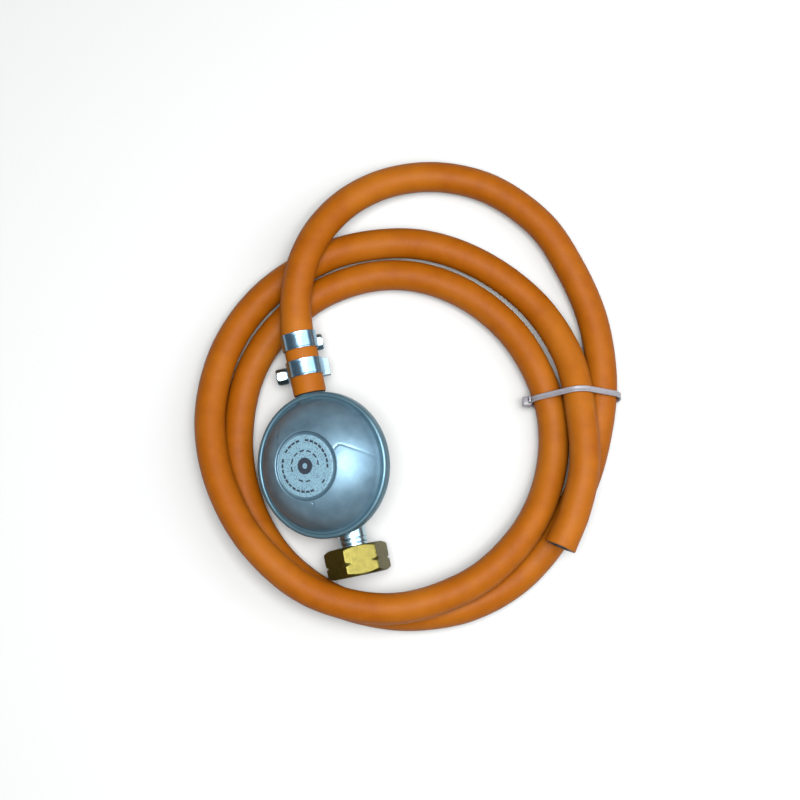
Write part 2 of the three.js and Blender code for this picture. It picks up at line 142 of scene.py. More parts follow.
# printed film on aluminium: pale blue-grey with fine dark specks
labelFilm = surface("aluminiumPrintedFilm", ("638494", "7ca0ae"), 3, 0.45, 0.004, (0.5, 0.62), Metallic=0.2)
printInk = surface("inkScreenPrinted", ("151b26", "262e3a"), 1, 0.3, 0.004, (0.45, 0.6))


# painted shade darkens the tape ribs in their valleys, and dust lightens broad patches
def paintRibShadeAndDust(kit, ribPitch):
    tree = kit["tree"]
    along = addNode(tree, "ShaderNodeAttribute", attribute_name="along").outputs["Fac"]
    phase = addNode(tree, "ShaderNodeMath", {0: along, 1: 2 * math.pi / (ribPitch * mm)},
                    operation="MULTIPLY")
    wave = addNode(tree, "ShaderNodeMath", {0: phase.outputs[0]}, operation="COSINE")
    # painted shade: the colour darkens towards 5a2800 in each rib valley, and the rib peaks keep the rubber's
    # colour
    valleyShade = addNode(tree, "ShaderNodeMapRange", {"Value": wave.outputs[0], "From Min": -1.0, "From Max": 1.0,
                                               "To Min": 0.14, "To Max": 0.0})
    shade = addNode(tree, "ShaderNodeMix", {0: valleyShade.outputs["Result"], 6: kit["colour"].outputs[2],
                                            7: linear("5a2800")}, data_type="RGBA")
    wide = addNode(tree, "ShaderNodeTexNoise", {"Vector": kit["coords"], "Scale": 26.0, "Detail": 2.0})
    worn = addNode(tree, "ShaderNodeMapRange", {
        "Value": wide.outputs["Fac"], "From Min": 0.45, "From Max": 0.75, "To Min": 0.0, "To Max": 0.3})
    dusty = addNode(tree, "ShaderNodeMix", {0: worn.outputs["Result"], 6: shade.outputs[2],
                                            7: linear("a3661c")}, data_type="RGBA")
    tree.links.new(dusty.outputs[2], kit["skin"].inputs["Base Color"])


def speckle(kit, size, threshold, colour):
    tree = kit["tree"]
    grit = addNode(tree, "ShaderNodeTexNoise", {"Vector": kit["coords"], "Scale": 1000 / size, "Detail": 1.0})
    dots = addNode(tree, "ShaderNodeMapRange", {"Value": grit.outputs["Fac"], "From Min": threshold,
                                                "From Max": threshold + 0.06})
    mixed = addNode(tree, "ShaderNodeMix", {0: dots.outputs["Result"], 6: kit["colour"].outputs[2],
                                            7: linear(colour)}, data_type="RGBA")
    tree.links.new(mixed.outputs[2], kit["skin"].inputs["Base Color"])


hoseBuild = {"radius": 7.5, "bore": 4.0, "boreOverNozzle": 4.65, "liner": 6.5, "ribPitch": 1.2,
             "ribDepth": 0.08, "sides": 24, "boreStep": 12, "stretch": 0.5, "stretchEnd": 37,
             "clampMiddles": (12.6, 25.8), "clampPinch": 0.28, "nozzleEnd": 32, "cutFlare": 0.28}
# paints shade into the rib valleys and lays dust patches on the hose colour
paintRibShadeAndDust(hoseRubber, hoseBuild["ribPitch"])
speckle(labelFilm, 0.6, 0.56, "566a76")
print("materials done")


# skins rings of points in mm with quads; a loop joins the last ring to the first
def skinned(name, rings, loop=False, place=None, sharp=35, tidy=True):
    rings = np.asarray(rings, float)
    ringCount, sides = rings.shape[:2]
    first = np.arange(ringCount if loop else ringCount - 1)[:, None] * sides
    following = (first + sides) % (ringCount * sides)
    here = np.arange(sides)[None, :]
    after = (here + 1) % sides
    faces = np.stack([first + here, first + after, following + after, following + here], -1).reshape(-1, 4)
    mesh = bpy.data.meshes.new(name)
    mesh.from_pydata((rings.reshape(-1, 3) * mm).tolist(), [], faces.tolist())
    if place is not None:
        mesh.transform(place)
    if tidy:
        tidied(mesh, sharp)
    return mesh


def tidied(mesh, sharp=35, merge=1e-6):
    work = bmesh.new()
    work.from_mesh(mesh)
    bmesh.ops.remove_doubles(work, verts=work.verts, dist=merge)
    bmesh.ops.dissolve_degenerate(work, edges=work.edges, dist=1e-7)
    bmesh.ops.recalc_face_normals(work, faces=work.faces)
    work.to_mesh(mesh)
    work.free()
    mesh.shade_smooth()
    mesh.set_sharp_from_angle(angle=math.radians(sharp))
    return mesh


# rounds the corners of a profile of (radius, height), in mm
def softened(points, radius=0.4, steps=3, closed=False):
    points = [np.array(p, float) for p in points]
    rounded = []
    for i, corner in enumerate(points):
        if not closed and i in (0, len(points) - 1):
            rounded.append(corner)
            continue
        before, after = points[i - 1] - corner, points[(i + 1) % len(points)] - corner
        reach = min(radius, 0.45 * np.linalg.norm(before), 0.45 * np.linalg.norm(after))
        start = corner + before / np.linalg.norm(before) * reach
        end = corner + after / np.linalg.norm(after) * reach
        for t in np.linspace(0, 1, steps + 1):
            rounded.append(start * (1 - t) ** 2 + corner * 2 * t * (1 - t) + end * t ** 2)
    return rounded


# a profile turned about Z; closed profiles make rings
def turned(name, profile, place, sides=128, closed=False, sharp=35):
    around = np.linspace(0, 2 * math.pi, sides, endpoint=False)
    rings = [np.stack([r * np.cos(around), r * np.sin(around), np.full(sides, z)], -1) for r, z in profile]
    return skinned(name, rings, loop=closed, place=place, sharp=sharp)


def carved(mesh, *steps, sharp=35):
    work = bpy.data.objects.new("work", mesh)
    scene.collection.objects.link(work)
    tools = []
    for operation, other in steps:
        tool = bpy.data.objects.new("tool", other)
        scene.collection.objects.link(tool)
        tools.append(tool)
        modifier = work.modifiers.new(operation, "BOOLEAN")
        modifier.operation = operation
        modifier.solver = "EXACT"
        modifier.object = tool
    graph = bpy.context.evaluated_depsgraph_get()
    graph.update()
    made = bpy.data.meshes.new_from_object(work.evaluated_get(graph))
    for done in (work, *tools):
        bpy.data.objects.remove(done)
    return tidied(made, sharp, 2e-6)


def block(name, low, high, place, bevel=0.0):
    work = bmesh.new()
    middle = [(a + b) / 2 * mm for a, b in zip(low, high)]
    size = [(b - a) * mm for a, b in zip(low, high)]
    bmesh.ops.create_cube(work, size=1, matrix=Matrix.Translation(middle) @ Matrix.Diagonal((*size, 1)))
    if bevel:
        bmesh.ops.bevel(work, geom=work.edges[:], offset=bevel * mm, segments=3, profile=0.5, affect="EDGES")
    mesh = bpy.data.meshes.new(name)
    work.to_mesh(mesh)
    work.free()
    mesh.transform(place)
    return tidied(mesh)


def addPiece(name, mesh, kit, replaced=(), body=rootBody, extra=()):
    piece = bpy.data.objects.new(name, mesh)
    scene.collection.objects.link(piece)
    mesh.materials.clear()
    for each in (kit, *extra):
        mesh.materials.append(each["material"])
    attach(piece, body)
    if replaced:
        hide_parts(*replaced)
    return piece


def softMin(values, blur):
    values = np.asarray(values, float)
    lowest = values.min(axis=0)
    return lowest - blur * np.log(np.exp(-(values - lowest) / blur).sum(axis=0))


# the hose's middle line in mm, from the nozzle to the cut end, as in the part's source
hoseRoute = [
    (0.8, 29.2, 22.9), (0.8, 45, 22.9), (0.8, 61, 22.9), (4.1, 78.5, 23.3), (11.4, 94.8, 23),
    (23.2, 109.4, 19.5), (40.3, 121, 14.6), (62.2, 126.7, 10.5), (86.8, 124.3, 8), (110.3, 112.5, 7.7),
    (129.5, 90.8, 8.2), (139.2, 66.4, 7.7), (144.3, 39.5, 8), (142.7, 12, 9.4), (135.9, -12, 9),
    (123, -38, 7.6), (104.5, -60.5, 7.6), (81, -78, 7.6), (55.5, -86, 7.6), (30.5, -85.5, 7.6),
    (8.5, -79, 7.6), (-11, -67.5, 7.6), (-28.3, -48, 7.6), (-38.2, -24.5, 7.6), (-40.7, 1, 7.6),
    (-36.5, 25, 7.6), (-26.5, 47.1, 7.6), (-10.4, 64.8, 7.6), (12.7, 77.9, 7.6), (38.9, 82.3, 7.5),
    (63.1, 77.8, 7.6), (85.2, 64.3, 7.6), (102.5, 43.5, 7.8), (111.7, 19.5, 9.3), (114, -6.1, 9.5),
    (107, -32, 11.1), (91.3, -54.8, 16.7), (68.4, -71.6, 19.8), (45.2, -79, 21.8), (20.5, -80, 22.9),
    (-2.7, -72.9, 23), (-23.4, -58.8, 22.9), (-40.4, -35.2, 22.3), (-49.2, -9.5, 20.8),
    (-51.1, 15.5, 18.1), (-46.2, 39.7, 14.4), (-33, 64.2, 10.6), (-10.9, 84.1, 7.9), (19.2, 96.1, 7.7),
    (47.1, 97.4, 9.3), (73.7, 91, 9), (98.6, 74.7, 8.2), (118.4, 50.4, 8.4), (127.9, 21.5, 13.9),
    (127, -6, 20.6), (123, -31, 23.2), (113.5, -52, 23.6), (102.5, -67.5, 24),
]


def smoothRoute(points, steps=60):
    points = np.array(points, float)
    padded = np.vstack([2 * points[0] - points[1], points, 2 * points[-1] - points[-2]])
    track = []
    for i in range(1, len(padded) - 2):
        a, b = padded[i], padded[i + 1]
        leave, arrive = (b - padded[i - 1]) / 2, (padded[i + 2] - a) / 2
        for t in np.arange(steps) / steps:
            track.append(a + leave * t + (3 * (b - a) - 2 * leave - arrive) * t ** 2
                         + (2 * (a - b) + leave + arrive) * t ** 3)
    track.append(padded[-2])
    return np.array(track)


def evenly(track, step):
    travelled = np.concatenate([[0], np.cumsum(np.linalg.norm(np.diff(track, axis=0), axis=1))])
    marks = np.linspace(0, travelled[-1], int(round(travelled[-1] / step)) + 1)
    return np.stack([np.interp(marks, travelled, track[:, k]) for k in range(3)], -1), marks


# two directions across the track at each point, carried along without twist
def carriedFrames(track):
    ahead = np.gradient(track, axis=0)
    ahead /= np.linalg.norm(ahead, axis=1)[:, None]
    side = np.cross(ahead[0], (0, 0, 1))
    side /= np.linalg.norm(side)
    sides = []
    for direction in ahead:
        side = side - direction * side.dot(direction)
        side /= np.linalg.norm(side)
        sides.append(side)
    sides = np.array(sides)
    return sides, np.cross(ahead, sides)


def makeHose(build):
    middle, marks = evenly(smoothRoute(hoseRoute), build["ribPitch"] / 2)
    right, up = carriedFrames(middle)
    around = np.linspace(0, 2 * math.pi, build["sides"], endpoint=False)
    total = marks[-1]

    def ring(i, radius, squeeze=0.0):
        wide, tall = radius * (1 + squeeze), radius * (1 - squeeze)
        return (middle[i] + np.outer(wide * np.cos(around), right[i])
                + np.outer(tall * np.sin(around), up[i]))

    rings, kinds, alongs = [], [], []
    for i, s in enumerate(marks):
        radius = build["radius"] + build["ribDepth"] * (0.25 if i % 2 == 0 else -0.75)
        radius += build["stretch"] / (1 + math.exp((s - build["stretchEnd"]) / 2.2))  # over the nozzle
        for clampMiddle in build["clampMiddles"]:  # pinched under each clamp band
            radius -= build["clampPinch"] * math.exp(-((s - clampMiddle) / 3.9) ** 6)
        radius += 0.07 * noise.noise((s / 21, 0.3, 0.7))
        radius += build["cutFlare"] * math.exp((s - total) / 5)  # the cut end flares a little
        ends = min(s, total - s)
        radius -= 0.3 * max(0, 1 - ends / 0.6)
        oval = 0.012 * noise.noise((s / 60, 4.1, 2.2)) + 0.02 * math.exp((s - total) / 25)
        rings.append(ring(i, radius, oval))
        kinds.append(0)
        alongs.append(s)
    last = len(marks) - 1
    rings.append(ring(last, build["liner"], 0.02))
    kinds.append(1)
    alongs.append(total)
    for i in range(last, -1, -build["boreStep"]):
        overNozzle = marks[i] < build["nozzleEnd"]
        rings.append(ring(i, build["boreOverNozzle"] if overNozzle else build["bore"], 0.0))
        kinds.append(1)
        alongs.append(marks[i])
    mesh = skinned("hose_tube", rings, loop=True, tidy=False)
    if sum(face.area * face.normal.dot(face.center) for face in mesh.polygons) < 0:
        mesh.flip_normals()
    values = np.repeat(np.array(alongs) * mm, build["sides"])
    mesh.attributes.new("along", "FLOAT", "POINT").data.foreach_set("value", values)
    index = np.repeat(np.array(kinds), build["sides"])
    mesh.polygons.foreach_set("material_index", index[:len(mesh.polygons)])
    mesh.shade_smooth()
    mesh.set_sharp_from_angle(angle=math.radians(50))
    return mesh, middle * mm, total * mm


hoseMesh, hosePath, hoseLength = makeHose(hoseBuild)
hoseIndex = np.zeros(len(hoseMesh.polygons), int)
hoseMesh.polygons.foreach_get("material_index", hoseIndex)
hoseTube = addPiece("hose_tube", hoseMesh, hoseRubber, ["hose"], extra=[nitrile])
hoseMesh.polygons.foreach_set("material_index", hoseIndex)
print("hose done", round(hoseLength, 4), "m")

# a strap drawn round three circles, one for each strand, in mm
tieBuild = {"strapMiddle": 8.9, "thickness": 1.0, "width": 2.8, "toothPitch": 1.3, "toothDepth": 0.16,
            "ringStep": 0.3, "circles": [(-14.6, 0), (-0.9, 9.3), (11.7, 0)]}
tiePlace = (Matrix.Translation(Vector((128.4, 1, 9.65)) * mm)
            @ Matrix.Rotation(math.radians(-9), 4, "Z") @ Matrix.Rotation(math.radians(-10), 4, "X"))


def makeStrap(build):
    left, top, right = build["circles"]

    def facing(a, b):
        return math.atan2(b[1] - a[1], b[0] - a[0]) + math.pi / 2

    outline = []
    spans = ((left, 1.5 * math.pi, facing(left, top)), (top, facing(left, top), facing(top, right)),
             (right, facing(top, right), -0.5 * math.pi))
    for (x, z), start, end in spans:
        for angle in np.linspace(start, end, 40):
            outline.append((x + build["strapMiddle"] * math.cos(angle), 0,
                            z + build["strapMiddle"] * math.sin(angle)))
    outline.append(outline[0])
    track, marks = evenly(np.array(outline), build["ringStep"])
    track, marks = track[:-1], marks[:-1]
    ahead = np.roll(track, -1, axis=0) - np.roll(track, 1, axis=0)
    ahead /= np.linalg.norm(ahead, axis=1)[:, None]
    outwardWay = np.cross(ahead, (0, 1, 0))
    if outwardWay[0].dot(track[0] - track.mean(axis=0)) < 0:
        outwardWay = -outwardWay
    halfWidth, half = build["width"] / 2, build["thickness"] / 2
    rings = []
    for point, out, s in zip(track, outwardWay, marks):
        tooth = build["toothDepth"] * abs(2 * (s / build["toothPitch"] % 1) - 1)
        face = half - 0.12 - tooth
        section = [(-halfWidth, -half + 0.25), (-halfWidth + 0.25, -half), (halfWidth - 0.25, -half),
                   (halfWidth, -half + 0.25), (halfWidth, half - 0.2), (halfWidth - 0.2, half),
                   (halfWidth - 0.55, half), (halfWidth - 0.75, face), (-halfWidth + 0.75, face),
                   (-halfWidth + 0.55, half), (-halfWidth + 0.2, half), (-halfWidth, half - 0.2)]
        rings.append([point + np.array((0, y, 0)) + out * lift for y, lift in section])
    return skinned("tie_strap", rings, loop=True, place=tiePlace, sharp=50)


def makeTieHead():
    head = block("tie_head", (-27.4, -2.3, -2.2), (-22.9, 2.3, 2.5), tiePlace, 0.9)
    slot = block("slot", (-24.7, -1.55, -4), (-23.3, 1.55, 4), tiePlace)
    return carved(head, ("DIFFERENCE", slot))


strap = addPiece("tie_strap", makeStrap(tieBuild), nylon, ["cable_tie"])
tieHead = addPiece("tie_head", makeTieHead(), nylon)
tail = block("tie_tail", (-24.45, -1.4, 2.2), (-23.45, 1.4, 5.2), tiePlace, 0.3)
tieTail = addPiece("tie_tail", tail, nylon)
print("cable tie done")

# the seam where the cover sits in the body, in mm
lipBottom = -0.8
groove = 34.0
ledge = -3.9
coverBuild = {"arcMiddle": (8.4, -9.3), "arcRadius": 24.7, "arcFrom": 0.43, "arcTo": 1.2, "arcSteps": 64,
              "innerRadius": 22.6, "sides": 320, "lineDepth": 0.34, "lineWidth": 0.32,
              "lines": [[(16.2, 4.0), (17.2, 5.2), (18.7, 6.1), (20.2, 5.7), (23.2, 3.7), (27.1, 0.8),
                         (30.2, -2.2)],
                        [(-0.9, -16.2), (-0.2, -18.1), (-1.4, -19.7), (-3.6, -20.8), (-6.3, -21.5)],
                        [(-14.1, 11.8), (-13.4, 16.6), (-13.5, 20.5), (-14.8, 24.6)]]}


def makeCover(build):
    cx, cz = build["arcMiddle"]
    outer = [(cx + build["arcRadius"] * math.cos(a), cz + build["arcRadius"] * math.sin(a))
             for a in np.linspace(build["arcFrom"], build["arcTo"], build["arcSteps"])]
    inner = [(cx + build["innerRadius"] * math.cos(a), cz + build["innerRadius"] * math.sin(a))
             for a in np.linspace(1.1, 0.46, 12)]
    flange = [(29.2, -2.1), (33.7, -2.1), (33.7, -1.1), (32.1, -1.1), (31.5, -0.4)]
    crown = [(16.9, 13.9), (16.6, 13.95), (16.3, 13.8), (16.1, 13.4), (15.9, 12.9), (15.5, 12.7),
             (15.1, 12.6), (15.1, 12.4)]
    tube = [(13.3, 12.4), (13.3, 3.5), (15, 3.5), (15, 10)]
    profile = flange + outer + crown + tube + inner
    around = np.linspace(0, 2 * math.pi, build["sides"], endpoint=False)
    rings = []
    for r, z in profile:
        x, y = r * np.cos(around), r * np.sin(around)
        height = np.full(len(around), float(z))
        if (r, z) in outer:
            for line in build["lines"]:
                near = np.full(len(around), 99.0)
                for (x0, y0), (x1, y1) in zip(line, line[1:]):
                    run = np.array((x1 - x0, y1 - y0))
                    share = np.clip(((x - x0) * run[0] + (y - y0) * run[1]) / run.dot(run), 0, 1)
                    near = np.minimum(near, np.hypot(x - x0 - share * run[0], y - y0 - share * run[1]))
                height -= build["lineDepth"] * np.exp(-(near / build["lineWidth"]) ** 2)
        rings.append(np.stack([x, y, height], -1))
    return skinned("bonnet_cover", rings, loop=True, place=bodyPlace, sharp=40)


addPiece("bonnet_cover", makeCover(coverBuild), dieCastDome, ["bonnet"])

labelBuild = {"radius": 14.8, "bottom": 12.7, "top": 14.3}
labelOutline = [(0, labelBuild["bottom"]), (14.5, labelBuild["bottom"]), (labelBuild["radius"], 13),
                (labelBuild["radius"], labelBuild["top"]), (13.9, 14.42), (0, 14.42)]
disc = turned("label_disc", softened(labelOutline, 0.3), bodyPlace)
addPiece("label_disc", disc, labelFilm, ["cap_disc"])


# a tree that sets small bars round a circle, for the printed rings
def barRingTree():
    tree = bpy.data.node_groups.new("barRing", "GeometryNodeTree")
    tree.interface.new_socket("Geometry", in_out="OUTPUT", socket_type="NodeSocketGeometry")
    sockets = {"Count": "NodeSocketInt", "Radius": "NodeSocketFloat", "Bar": "NodeSocketVector",
               "Skip": "NodeSocketFloat", "Seed": "NodeSocketInt", "Jitter": "NodeSocketFloat",
               "Material": "NodeSocketMaterial"}
    for name, kind in sockets.items():
        tree.interface.new_socket(name, in_out="INPUT", socket_type=kind)
    given = addNode(tree, "NodeGroupInput").outputs
    circle = addNode(tree, "GeometryNodeMeshCircle", {"Vertices": given["Count"], "Radius": given["Radius"]})
    spot = addNode(tree, "GeometryNodeInputPosition").outputs[0]
    turn = addNode(tree, "FunctionNodeAlignRotationToVector", {"Vector": spot}, axis="X", pivot_axis="Z")
    chance = addNode(tree, "FunctionNodeRandomValue", {"Seed": given["Seed"]}, data_type="FLOAT")
    keep = addNode(tree, "FunctionNodeCompare", {0: chance.outputs[1], 1: given["Skip"]},
                   data_type="FLOAT", operation="GREATER_THAN")
    spread = addNode(tree, "FunctionNodeRandomValue", {"Seed": given["Seed"]}, data_type="FLOAT")
    smallest = addNode(tree, "ShaderNodeMath", {0: 1.0, 1: given["Jitter"]}, operation="SUBTRACT")
    tree.links.new(smallest.outputs[0], spread.inputs[2])
    bar = addNode(tree, "GeometryNodeMeshCube", {"Size": given["Bar"]})
    size = addNode(tree, "ShaderNodeCombineXYZ", {"X": spread.outputs[1], "Y": 1.0, "Z": 1.0})
    placed = addNode(tree, "GeometryNodeInstanceOnPoints", {
        "Points": circle.outputs["Mesh"], "Selection": keep.outputs[0], "Instance": bar.outputs["Mesh"],
        "Rotation": turn.outputs[0], "Scale": size.outputs[0]})
    real = addNode(tree, "GeometryNodeRealizeInstances", {"Geometry": placed.outputs[0]})
    coat = addNode(tree, "GeometryNodeSetMaterial", {
        "Geometry": real.outputs[0], "Material": given["Material"]})
    addNode(tree, "NodeGroupOutput", {"Geometry": coat.outputs[0]})
    return tree


# a wire wound on a cylinder, closed at both ends
def coilTree():
    tree = bpy.data.node_groups.new("coil", "GeometryNodeTree")
    tree.interface.new_socket("Geometry", in_out="OUTPUT", socket_type="NodeSocketGeometry")
    sockets = {"Turns": "NodeSocketFloat", "Radius": "NodeSocketFloat", "Height": "NodeSocketFloat",
               "Wire": "NodeSocketFloat", "Material": "NodeSocketMaterial"}
    for name, kind in sockets.items():
        tree.interface.new_socket(name, in_out="INPUT", socket_type=kind)
    given = addNode(tree, "NodeGroupInput").outputs
    line = addNode(tree, "GeometryNodeCurveSpiral", {
        "Resolution": 48, "Rotations": given["Turns"], "Start Radius": given["Radius"],
        "End Radius": given["Radius"], "Height": given["Height"]})
    section = addNode(tree, "GeometryNodeCurvePrimitiveCircle", {"Resolution": 14, "Radius": given["Wire"]})
    wire = addNode(tree, "GeometryNodeCurveToMesh", {
        "Curve": line.outputs[0], "Profile Curve": section.outputs[0], "Fill Caps": True})
    smooth = addNode(tree, "GeometryNodeSetShadeSmooth", {"Geometry": wire.outputs[0]})
    real = addNode(tree, "GeometryNodeRealizeInstances", {"Geometry": smooth.outputs[0]})
    coat = addNode(tree, "GeometryNodeSetMaterial", {
        "Geometry": real.outputs[0], "Material": given["Material"]})
    addNode(tree, "NodeGroupOutput", {"Geometry": coat.outputs[0]})
    return tree


def grown(name, tree, values, place, lift=(0, 0, 0)):
    source = bpy.data.objects.new(name, bpy.data.meshes.new(name))
    scene.collection.objects.link(source)
    modifier = source.modifiers.new("grow", "NODES")
    modifier.node_group = tree
    for item in tree.interface.items_tree:
        if item.in_out == "INPUT" and item.name in values:
            modifier[item.identifier] = values[item.name]
    graph = bpy.context.evaluated_depsgraph_get()
    graph.update()
    mesh = bpy.data.meshes.new_from_object(source.evaluated_get(graph))
    bpy.data.objects.remove(source)
    mesh.transform(place @ Matrix.Translation(Vector(lift) * mm))
    return mesh


barRing = barRingTree()
printBuild = {"print_outer": {"Count": 30, "Radius": 12.1 * mm, "Bar": (1.1 * mm, 1.9 * mm, 0.06 * mm),
                              "Skip": 0.3, "Seed": 11, "Jitter": 0.3},
              "print_inner": {"Count": 12, "Radius": 7.2 * mm, "Bar": (0.8 * mm, 2.4 * mm, 0.06 * mm),
                              "Skip": 0.5, "Seed": 5, "Jitter": 0.3}}
for name, values in printBuild.items():
    marks = grown(name, barRing, {**values, "Material": printInk["material"]}, bodyPlace, (0, 0, 14.44))
    addPiece(name, tidied(marks), printInk)
badge = turned("print_badge", [(1.3, 14.38), (3.9, 14.38), (3.9, 14.48), (1.3, 14.48)], bodyPlace, 48, True)
addPiece("print_badge", badge, printInk)


def makeBody():
    shell = turned("body_shell", softened([
        (0, -26.3), (12.5, -26.3), (14.5, -25.6), (32, -7.6), (33.4, -5.6), (35, -5.0), (35, -1.0),
        (34.75, -0.3), (34.1, 0.05), (33.2, 0.0), (32.7, -0.3), (32.5, lipBottom), (groove, lipBottom),
        (groove, ledge),
        (28.5, ledge), (28.2, -7.4), (12.5, -23.4), (0, -23.4)], 0.5), bodyPlace, 192)
    inletBoss = turned("boss", softened([(0, -29), (8.2, -29), (8.2, -17), (0, -17)], 0.5),
                       inletAxis, 96)
    outletBoss = turned("boss", softened([(0, 30), (7.3, 30), (7.3, 35.2), (0, 35.2)], 0.5), outletPlace,
                        96)
    neckRoot = turned("root", softened([(0, 29.5), (9.2, 29.5), (7.3, 33), (0, 33)], 1.0), outletPlace, 96)
    inletBore = turned("bore", [(0, -30), (5.3, -30), (5.3, -20), (0, -20)],
                       inletAxis, 64)
    outletBore = turned("bore", [(0, 26), (3.5, 26), (3.5, 37), (0, 37)], outletPlace, 64)
    valveBore = turned("bore", [(0, -24.5), (4.8, -24.5), (4.8, -12), (0, -12)],
                       inletAxis, 64)
    # two posts hold the lever's pin
    posts = [("UNION", block("post", (x, 6, -24), (x + 2.5, 10, -10.5), bodyPlace)) for x in (-5.4, 2.9)]
    pinHole = turned("bore", [(0, -7), (1.3, -7), (1.3, 7), (0, 7)],
                     bodyPlace @ Matrix.Translation(Vector((0, 8, -12.5)) * mm) @ alongX, 32)
    # clears the bosses out of the inside; known fault: its flat top stays behind as a thin sheet
    room = turned("room", [(0, -12.6), (23.5, -12.6), (28.1, -7.4), (28.4, ledge + 0.05),
                           (groove - 0.05, ledge + 0.05), (groove - 0.05, lipBottom - 0.05),
                           (0, lipBottom - 0.05)], bodyPlace, 192)
    return carved(shell, ("UNION", inletBoss), ("UNION", outletBoss), ("UNION", neckRoot),
                  ("DIFFERENCE", room), *posts, ("DIFFERENCE", inletBore), ("DIFFERENCE", outletBore),
                  ("DIFFERENCE", valveBore), ("DIFFERENCE", pinHole))


addPiece("body_casting", makeBody(), dieCast, ["lower_body"])
print("regulator case done")

# plated neck with two grooves in its shank, and the washer at its mouth
stem = turned("inlet_neck", softened([
    (2.6, -47), (3.6, -47), (3.6, -45), (8.9, -45), (8.9, -43), (6.75, -43), (6.75, -39.4), (6.5, -39.2),
    (6.5, -38.8), (6.75, -38.6), (6.75, -37.2), (6.5, -37), (6.5, -36.6), (6.75, -36.4), (6.75, -29.3),
    (5, -29.3), (5, -24.3), (2.6, -24.3)], 0.2, closed=True), inletPlace @ alongY, 96, True)
addPiece("inlet_neck", stem, zincTurned, ["inlet_stem"])
sealOutline = [(3.9, -47.3), (8.6, -47.3), (8.6, -45.3), (3.9, -45.3)]
seal = turned("inlet_washer", softened(sealOutline, 0.3, closed=True), inletPlace @ alongY, 96, True)
addPiece("inlet_washer", seal, nitrile, ["inlet_seal"])

nutBuild = {"flats": 27, "back": -40.5, "length": 14, "turn": math.radians(21), "sides": 240,
            "endRadius": 13.4, "notchRadius": 14.45, "notchShare": 0.58, "blur": 0.22,
            "threadPitch": 1.814, "threadDepth": 0.9, "bore": 10.0, "stemHole": 7.15}


# the hexagon, its end chamfers and its corner notches are one radius for each angle and height
def makeNut(build):
    around = np.linspace(0, 2 * math.pi, build["sides"], endpoint=False)
    back, mouth = build["back"], build["back"] - build["length"]
    sweep = around + build["turn"]
    flats = [(build["flats"] / 2) / np.maximum(np.cos(sweep - k * math.pi / 3), 0.3) for k in range(6)]
    hexagon = softMin(flats, 0.12)
    notchAt = back - build["notchShare"] * build["length"]
    rings = []
    for y in np.linspace(mouth, back, 64):
        fromEnd = min(y - mouth, back - y)
        limits = [hexagon, np.full(len(around), build["endRadius"] + fromEnd * 1.75),
                  np.full(len(around), build["notchRadius"] + abs(y - notchAt) * 1.7)]
        rings.append((softMin(limits, build["blur"]), y))
    threadTop, threadEnd = mouth + 1.0, back - 4.2
    inside = [(build["stemHole"], back), (build["stemHole"], back - 2.2), (build["bore"] + 0.9, back - 2.4)]
    rings += [(np.full(len(around), r), y) for r, y in inside]
    for y in np.linspace(threadEnd, threadTop, 62):
        fade = min(1, (y - threadTop) / 0.8, (threadEnd - y) / 0.8)
        wave = (y / build["threadPitch"] - around / (2 * math.pi)) % 1
        rings.append((build["bore"] + 0.9 - build["threadDepth"] * fade * (1 - np.abs(2 * wave - 1)), y))
    rings.append((np.full(len(around), 11.2), mouth))
    points = [np.stack([r * np.cos(around), r * np.sin(around), np.full(len(around), y)], -1)
              for r, y in rings]
    return skinned("union_nut_hex", points, loop=True, place=inletPlace @ alongY, sharp=38)


addPiece("union_nut_hex", makeNut(nutBuild), brassAged, ["union_nut"], "nut")
print("inlet done")

# what both clamps share, in mm
clampBuild = {"inner": 8.0, "outer": 8.7, "width": 8.0, "edge": 0.35, "wormDrop": 12.1, "core": 1.9,
              "threadDepth": 0.9, "threadPitch": 2.2, "neckRadius": 2.0, "headFlats": 7.0, "headLength": 5.6}


def makeBand(name, place, step):
    half = clampBuild["width"] / 2
    inner, outer = clampBuild["inner"], clampBuild["outer"]
    rolled = outer + clampBuild["edge"] * 0.5
    ring = turned(name, softened([
        (inner, -half), (rolled, -half), (8.75, -half + 0.9), (outer, half - 0.9), (rolled, half),
        (inner, half)], 0.2, closed=True), place @ alongY, 128, True)
    start, end = step
    angles = np.radians(np.linspace(start, end, 30))
    section = [(outer, -3.7), (9.25, -3.6), (9.25, 3.6), (outer, 3.7)]
    rings = [[(r * math.cos(a), y, r * math.sin(a)) for r, y in section] for a in angles]
    rings = [[rings[0][0]] * 4] + rings + [[rings[-1][0]] * 4]
    cover = skinned(name, [[np.mean(r, axis=0)] * 4 if i in (0, len(rings) - 1) else r
                           for i, r in enumerate(rings)], place=place)
    return carved(ring, ("UNION", cover))


def makeHousing(name, place, span, drop):
    outline = [(-4, -6.2), (-4, -drop)] + [(-4 * math.cos(a), -drop - 3.8 * math.sin(a))
                                            for a in np.linspace(0.1, math.pi - 0.1, 18)]
    outline += [(4, -drop), (4, -6.2)]
    rings = [[(x, y, z) for y, z in outline] for x in np.linspace(*span, 6)]
    middle = [[np.mean(r, axis=0)] * len(outline) for r in (rings[0], rings[-1])]
    body = skinned(name, [middle[0]] + rings + [middle[1]], place=place)
    saddle = turned("saddle", [(0, -9), (9.0, -9), (9.0, 9), (0, 9)], place @ alongY, 128)
    tunnel = turned("tunnel", [(0, span[0] - 1), (3.2, span[0] - 1), (3.2, span[1] + 1), (0, span[1] + 1)],
                    place @ Matrix.Translation((0, 0, -drop * mm)) @ alongX, 64)
    strip = block("strip", (-3, -2.6, -drop), (3, 2.6, -8.8), place)
    return carved(body, ("DIFFERENCE", saddle), ("DIFFERENCE", tunnel), ("DIFFERENCE", strip))


